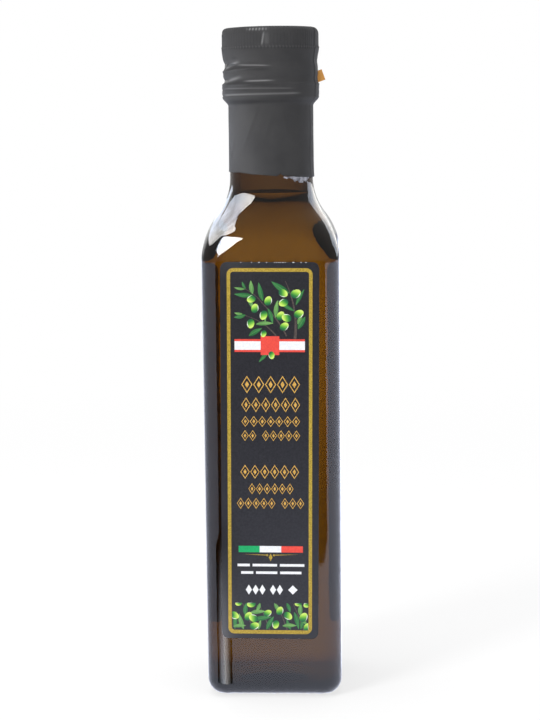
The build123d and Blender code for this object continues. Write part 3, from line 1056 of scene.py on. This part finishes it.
def foot_picture():
    """Field of olives and leaves across the foot of the label, cut off at its edges."""
    box = (3.0, 12.5, -12.95, 12.95)
    for x in (-8.2, -2.6, 3.4, 9.0):
        twig(twigs, (x + 2.4, box[0] + 0.1), (x + 1.0, 7.5), (x - 1.2, box[1] - 0.2), 0.4, 0.2)
    add_leaves(box, (
        (-12.0, 3.3, 6.2, 1.3, 84, 1), (-9.0, 3.2, 5.8, 1.5, 106, 0), (-8.4, 7.9, 4.6, 1.5, 86, 1),
        (-6.9, 9.0, 5.4, 1.4, 6, 0), (-6.2, 6.4, 6.8, 1.6, 10, 1), (-12.6, 4.2, 4.4, 1.2, 4, 0),
        (-1.2, 3.2, 5.2, 1.6, 62, 1), (1.4, 12.4, 3.8, 1.3, -62, 0), (4.2, 4.5, 4.8, 1.4, 2, 0),
        (8.2, 9.4, 6.2, 1.5, -76, 1), (10.3, 8.0, 4.4, 1.5, 88, 0), (5.6, 12.6, 3.6, 1.2, -70, 1),
        (10.4, 3.4, 5.0, 1.4, 70, 1), (-3.4, 12.4, 3.2, 1.2, -115, 0), (7.0, 3.2, 4.0, 1.2, 110, 1),
        (-4.0, 3.2, 3.4, 1.2, 75, 0), (12.4, 5.0, 3.8, 1.2, 120, 0),
    ))
    for x, up, size, angle in (
        (-12.2, 8.1, 1.6, 330), (-7.4, 7.7, 1.6, 60), (-5.6, 7.1, 1.6, 150), (-5.4, 4.4, 1.6, 20),
        (-0.9, 8.9, 1.4, 30), (3.3, 9.7, 1.5, 70), (1.9, 5.1, 1.5, 260), (6.0, 8.1, 1.6, 320),
        (11.3, 7.5, 1.7, 60), (-6.3, 12.1, 1.5, 190), (9.6, 12.4, 1.2, 190), (12.6, 12.1, 1.3, 210),
        (12.6, 4.1, 1.5, 60), (-10.6, 12.4, 1.2, 200),
    ):
        outline, uv = olive_outline(x, up, size, angle)
        olive_shapes.shape(clipped(outline, *box), uv)


sprig_picture()
foot_picture()
twigs.piece("twig_print", twig_ink, "twig_ink")
dark_leaves.piece("leaf_print_dark", leaf_dark, "green_ink")
light_leaves.piece("leaf_print_light", leaf_light, "green_ink")
olive_shapes.piece("olive_print", olives, "green_ink")

# ---------------------------------------------------------------- camera, floor and lights


def place_camera():
    """Camera 600 mm in front of the bottle's axis, a little to the right, tilted down and slightly rolled."""
    yaw = math.radians(2.4)
    place = Vector((0.6 * math.sin(yaw), -0.6 * math.cos(yaw), 0.198))
    heading = Matrix.Rotation(yaw + math.radians(0.116), 4, "Z")
    tilt = Matrix.Rotation(math.radians(90 - 8.02), 4, "X")
    roll = Matrix.Rotation(math.radians(-0.65), 4, "Z")
    data = bpy.data.cameras.new("camera")
    data.lens = 87.6
    data.clip_start = 0.01
    camera = in_scene("camera", data)
    camera.matrix_world = Matrix.Translation(place) @ heading @ tilt @ roll
    bpy.context.scene.camera = camera


def lamp(name, place, width, height, power):
    """Soft lamp at a place in metres, turned to the bottle's middle, that isn't itself seen in the glass."""
    data = bpy.data.lights.new(name, "AREA")
    data.shape = "RECTANGLE"
    data.size = width
    data.size_y = height
    data.energy = power
    light = in_scene(name, data)
    way = Vector((0, 0, 0.11)) - Vector(place)
    light.matrix_world = Matrix.Translation(place) @ way.to_track_quat("-Z", "Y").to_matrix().to_4x4()
    light.visible_glossy = False
    light.visible_transmission = False
    light.visible_camera = False


def from_bottle(azimuth, height, distance):
    """Place in metres at a compass angle from the front, positive towards +X, and a height and distance."""
    turn = math.radians(azimuth)
    return (distance * math.sin(turn), -distance * math.cos(turn), height)


def card(name, distance, columns, first, last, soft=0.001):
    """Bright screen curved round the bottle's axis that only shows as a reflection.

    Each column gives a compass angle and the heights of its lower and upper end in millimetres. The strength
    runs from first to last, in soft upright streaks, and fades over the share soft at both sides and at the
    upper end."""
    s = Shader(name)
    uv = s.uv("card")
    across, up, _ = s.split(uv)
    streak = s.ramp(s.noise(7.0, 1.0, vector=uv, stretch=(1.0, 0.25, 1.0)), [(0.35, 0.8), (0.6, 1.1)])
    level = s.times(s.between(across, 0.15, 0.75, first, last), streak)
    for place in (across, s.math("SUBTRACT", 1.0, across), s.math("SUBTRACT", 1.0, up)):
        level = s.times(level, s.between(place, 0.0, soft))
    tint = s.mix(s.between(across, 0.3, 0.7), (0.88, 0.95, 1.08), (1.0, 0.985, 0.97))
    glow = s.add("ShaderNodeEmission", {"Color": tint, "Strength": level})
    s.tree.links.new(glow.outputs[0], s.output.inputs["Surface"])
    points = []
    for azimuth, low, high in columns:
        points += [from_bottle(azimuth, height * MM, distance) for height in (low, high)]
    faces = [(2 * i, 2 * i + 2, 2 * i + 3, 2 * i + 1) for i in range(len(columns) - 1)]
    mesh = bpy.data.meshes.new(name)
    mesh.from_pydata(points, [], faces)
    layer = mesh.uv_layers.new(name="card")
    u = np.linspace(0, 1, len(columns))
    corners = [[(a, 0), (b, 0), (b, 1), (a, 1)] for a, b in zip(u, u[1:])]
    layer.data.foreach_set("uv", np.array(corners, np.float32).ravel())
    mesh.materials.append(s.material)
    panel = in_scene(name, mesh)
    for rays in ("camera", "diffuse", "transmission", "volume_scatter", "shadow"):
        setattr(panel, "visible_" + rays, False)


def make_cards():
    """Three screens near the shoulder's left side, a strip by the lower left edge, and one far behind right."""
    upper = [(-118, 181, 183), (-110, 181, 193), (-100, 181, 207), (-92, 181, 216), (-78, 181, 214)]
    upper += [(-65, 181, 207), (-57, 182.5, 203), (-47, 183.5, 198), (-40, 185, 193), (-36, 186, 187)]
    card("upper_screen", 0.04, upper, 5.5, 15)
    lower = [(-147, 163, 168), (-134, 164, 170), (-125, 165, 173), (-113, 165.5, 175), (-95, 164, 175)]
    lower += [(-80, 163, 175), (-70, 161.5, 175), (-60, 159.5, 175), (-57.5, 158.8, 175), (-54, 157.8, 172.5)]
    lower += [(-50.5, 159, 167)]
    card("lower_screen", 0.031, lower, 2.8, 8)
    window = [(-48.5, 171.5, 173), (-44, 164, 172.5), (-40, 157.5, 171.5), (-33, 152.6, 170)]
    window += [(-28, 154.5, 168.5), (-23, 158, 167.2), (-16.3, 163.8, 164.8)]
    card("window", 0.035, window, 26, 26)
    card("low_strip", 0.035, [(-43, 2, 52), (-31, 0, 60), (-25, -2, 52)], 13, 13, 0.8)
    card("right_screen", 1.0, [(118, 200, 750), (160, 200, 750)], 3.0, 3.5)


def make_floor():
    """Large white floor that keeps the shadow faintly.

    In reflections its front edge lies 0.2 m before the bottle, and it goes on to the left and right, brighter
    on the right and dim past 2 m. Through the glass it carries a painted shadow, dark under the foot and just
    past it and moderate beside it, and it is brightest about 1 m out and dimmer again far away."""
    s = Shader("pale_floor")
    path = s.add("ShaderNodeLightPath").outputs
    x, y, _ = s.split(s.place)
    far = s.math("ABSOLUTE", x)
    near = s.between(y, -0.22, -0.195)
    beside = s.between(s.math("ADD", far, s.times(y, 0.6)), 0.0, 0.05)
    bright = s.math("MAXIMUM", near, beside)
    level = s.between(x, -0.15, 0.15, 1.15, 1.75)
    distance = s.add("ShaderNodeVectorMath", {0: s.place}, operation="LENGTH").outputs["Value"]
    fade = s.between(distance, 2.0, 2.7, 1.0, 0.15)
    reflected = s.math("ADD", s.times(s.times(bright, fade), level), 0.05)
    reach = s.math("MAXIMUM", far, s.math("ABSOLUTE", y))
    # Painted shade on the floor near the bottle and a painted contact shadow under its foot, seen only through
    # the glass
    through = s.between(reach, 0.03, 0.8, 0.76, 1.5)
    through = s.times(through, s.between(reach, 0.032, 0.038, 0.03, 1.0))
    through = s.times(through, s.between(reach, 1.2, 2.8, 1.0, 0.5))
    mirrored = s.math("SUBTRACT", path["Is Glossy Ray"], path["Is Transmission Ray"], True)
    parts = (through, path["Is Transmission Ray"]), (reflected, mirrored), (1.0, path["Is Camera Ray"])
    strength = s.brightest(*parts)
    tint = s.mix(mirrored, (1.0, 1.0, 1.0), (0.93, 0.98, 1.18))
    glow = s.add("ShaderNodeEmission", {"Color": tint, "Strength": strength})
    plain = s.math("MAXIMUM", path["Is Glossy Ray"], path["Is Transmission Ray"])
    seen = s.between(distance, 0.15, 0.7, 0.72, 1.0)
    share = s.math("MAXIMUM", plain, s.times(path["Is Camera Ray"], seen))
    color = s.mix(s.noise(8, 2.0), (0.90, 0.90, 0.91), (0.92, 0.92, 0.92))
    s.set(s.surface, {"Base Color": color, "Roughness": 0.9})
    both = s.add("ShaderNodeMixShader", {0: share, 1: s.surface.outputs[0], 2: glow.outputs[0]})
    s.tree.links.new(both.outputs[0], s.output.inputs["Surface"])
    mesh = bpy.data.meshes.new("floor")
    mesh.from_pydata([(-3, -3, 0), (3, -3, 0), (3, 3, 0), (-3, 3, 0)], [], [(0, 1, 2, 3)])
    mesh.materials.append(s.material)
    in_scene("floor", mesh)


def make_world():
    """White to the camera, and a soft light that is stronger from behind, from the left and from above.

    Reflections see a studio that is dim, but bright low behind, more so on the right, except along the
    horizon. Through the glass it is brighter behind than in front, and below the horizon than above it."""
    world = bpy.data.worlds.new("studio")
    bpy.context.scene.world = world
    s = Nodes(world)
    x, y, z = s.split(s.add("ShaderNodeTexCoord").outputs["Generated"])
    path = s.add("ShaderNodeLightPath").outputs
    back = s.between(y, 0.5, 0.75)
    low = s.between(z, 0.25, 0.5, 1.0, 0.2)
    level = s.between(x, -0.6, 0.6, 1.0, 1.75)
    level = s.times(level, low)
    level = s.times(level, s.between(s.math("ABSOLUTE", z), 0.04, 0.10, 0.15, 1.0))
    reflected = s.math("ADD", s.times(back, level), 0.36)
    through = s.between(y, -0.5, 0.4, 0.40, 1.5)
    through = s.times(through, s.between(z, 0.0, 0.05, 0.45, 0.3))
    even = s.between(y, -0.6, 0.3, 0.28, 0.62)
    even = s.times(even, s.between(x, -1.0, 1.0, 1.2, 0.75))
    even = s.times(even, s.between(z, -0.5, 0.5, 0.8, 1.1))
    mirrored = s.math("SUBTRACT", path["Is Glossy Ray"], path["Is Transmission Ray"], True)
    parts = (reflected, mirrored), (through, path["Is Transmission Ray"]), (even, path["Is Diffuse Ray"])
    strength = s.brightest(*parts, (1.0, path["Is Camera Ray"]))
    s.set(s.tree.nodes["Background"], {"Color": (1, 1, 1, 1), "Strength": strength})


bpy.context.scene.view_settings.view_transform = "Standard"
place_camera()
make_floor()
make_world()
make_cards()
lamp("key", (-0.9, -0.9, 0.9), 0.4, 0.5, 13.5)
lamp("fill", (1.1, -0.6, 0.5), 0.5, 0.9, 3.5)
lamp("top", (-0.1, 0.0, 1.3), 0.6, 0.6, 7.0)
